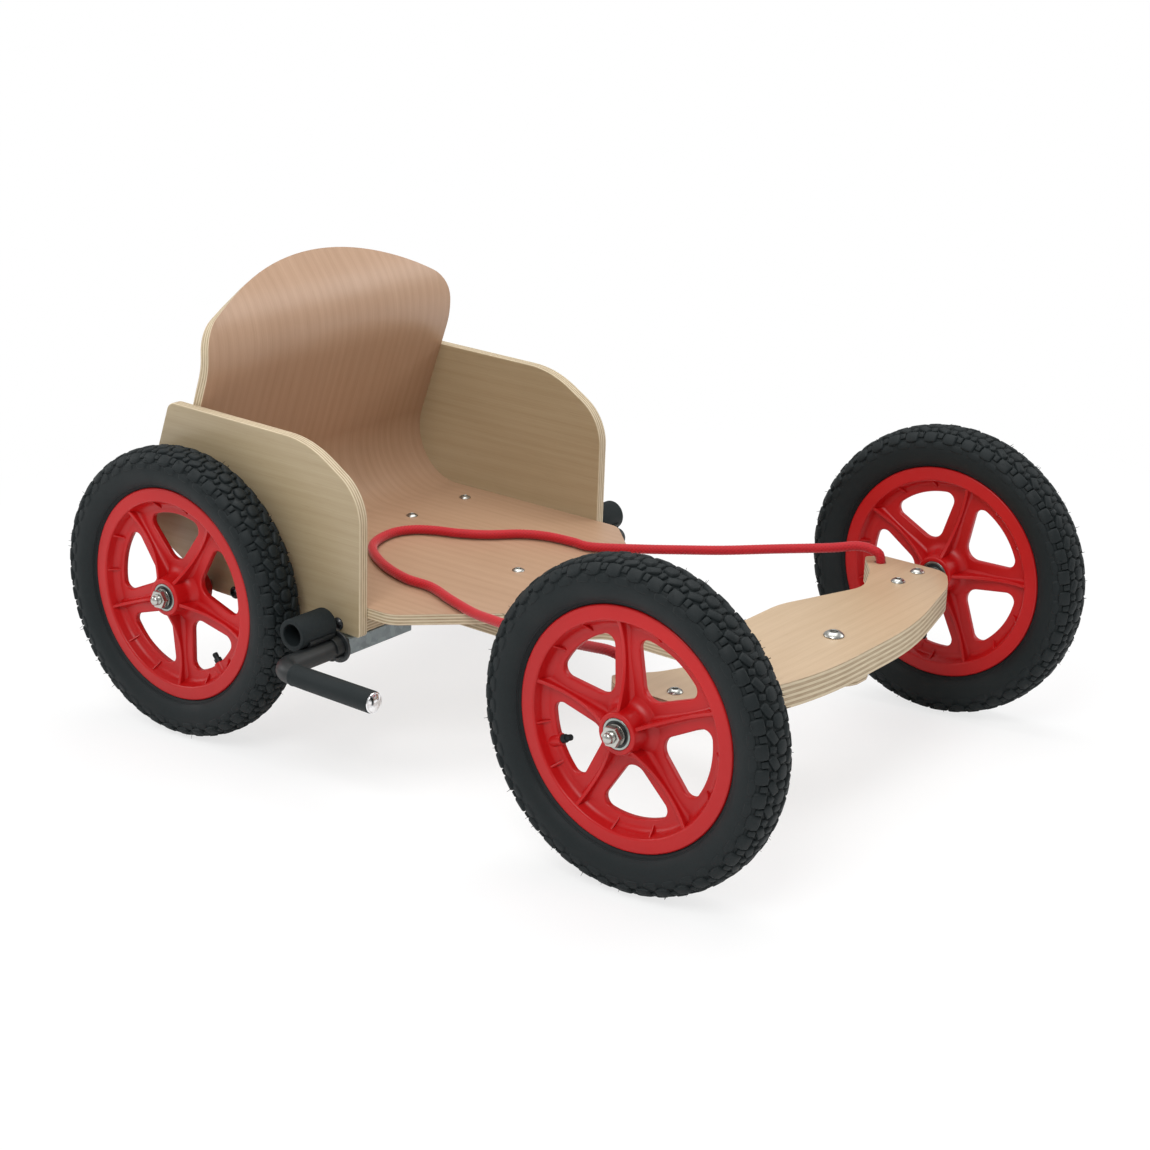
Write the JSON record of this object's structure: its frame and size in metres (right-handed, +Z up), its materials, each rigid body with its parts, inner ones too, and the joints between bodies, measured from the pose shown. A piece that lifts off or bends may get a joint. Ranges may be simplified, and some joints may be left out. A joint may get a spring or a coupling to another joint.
{
  "type": "soapbox car",
  "caption": "Child's soapbox car with a bent plywood seat, a rope-steered swivelling front board, spoked pneumatic wheels and a hand lever that presses a brake shoe on each rear tyre.",
  "frame": {"origin": "centre of the bounding box on the ground, midway between the axle lines", "axes": "+X forward, +Y to the driver's left, +Z up"},
  "size_m": [0.89, 0.62, 0.4608],
  "materials": {
    "seat_ply": "satin lacquer",
    "panel_ply": "satin lacquer",
    "board_ply": "satin lacquer",
    "red_plastic": "semi-gloss",
    "tyre_rubber": "matt",
    "black_rubber": "matt",
    "galvanised_steel": "galvanised",
    "black_coated_steel": "satin",
    "black_plastic": "matt",
    "washer_plastic": "matt",
    "red_rope": "braided",
    "chrome": "polished",
    "bearing_steel": "ground",
    "zinc_steel": "bright zinc"
  },
  "bodies": {
    "chassis": {"seat_shell": "seat_ply", "side_panel_left": "panel_ply", "side_panel_right": "panel_ply", "chassis_deck": "board_ply", "rear_axle_block": "board_ply", "seat_bolts": "zinc_steel", "panel_bolts": "black_coated_steel", "rear_axle": "zinc_steel", "rear_spacers": "zinc_steel", "rear_axle_nuts": "zinc_steel", "pivot_bolt": "zinc_steel", "pivot_nut": "zinc_steel", "thrust_washer": "washer_plastic", "brake_rail_left": "galvanised_steel", "brake_rail_right": "galvanised_steel", "rail_plug_left": "black_plastic", "rail_plug_right": "black_plastic", "rail_screws": "zinc_steel", "brake_disc_left": "black_plastic", "brake_disc_right": "black_plastic", "rope": "red_rope"},
    "steering": {"steering_board": "board_ply", "front_axle_left": "zinc_steel", "front_axle_right": "zinc_steel", "axle_lock_bolts": "zinc_steel", "front_spacers": "zinc_steel", "front_axle_nuts": "zinc_steel", "rope_knots": "red_rope"},
    "wheel_front_left": {"rim_front_left": "red_plastic", "tyre_front_left": "tyre_rubber", "inner_tube_front_left": "black_rubber", "hub_bearings_front_left": "bearing_steel"},
    "wheel_front_right": {"rim_front_right": "red_plastic", "tyre_front_right": "tyre_rubber", "inner_tube_front_right": "black_rubber", "hub_bearings_front_right": "bearing_steel"},
    "wheel_rear_left": {"rim_rear_left": "red_plastic", "tyre_rear_left": "tyre_rubber", "inner_tube_rear_left": "black_rubber", "hub_bearings_rear_left": "bearing_steel"},
    "wheel_rear_right": {"rim_rear_right": "red_plastic", "tyre_rear_right": "tyre_rubber", "inner_tube_rear_right": "black_rubber", "hub_bearings_rear_right": "bearing_steel"},
    "brake": {"brake_shaft": "zinc_steel", "brake_lever": "black_coated_steel", "brake_arm_left": "black_coated_steel", "brake_shoe_left": "black_rubber", "brake_shoe_right": "black_rubber", "hand_grip": "black_rubber", "lever_cap": "chrome"}
  },
  "joints": [
    {"name": "steer", "type": "hinge", "parent": "chassis", "child": "steering", "pos_m": [0.32594, 0, 0.14807], "axis": [0.0622, 0, 0.9981], "range_deg": [-30, 30], "deforming": ["rope"]},
    {"name": "front_left_spin", "type": "hinge", "parent": "steering", "child": "wheel_front_left", "pos_m": [0.295, 0.27, 0.15], "axis": [0, 1, 0], "continuous": true},
    {"name": "front_right_spin", "type": "hinge", "parent": "steering", "child": "wheel_front_right", "pos_m": [0.295, -0.27, 0.15], "axis": [0, 1, 0], "continuous": true},
    {"name": "rear_left_spin", "type": "hinge", "parent": "chassis", "child": "wheel_rear_left", "pos_m": [-0.295, 0.23, 0.15], "axis": [0, 1, 0], "continuous": true},
    {"name": "rear_right_spin", "type": "hinge", "parent": "chassis", "child": "wheel_rear_right", "pos_m": [-0.295, -0.23, 0.15], "axis": [0, 1, 0], "continuous": true},
    {"name": "brake_pull", "type": "hinge", "parent": "chassis", "child": "brake", "pos_m": [-0.1043, -0.22, 0.12309], "axis": [0, -1, 0], "range_deg": [0, 40]}
  ]
}
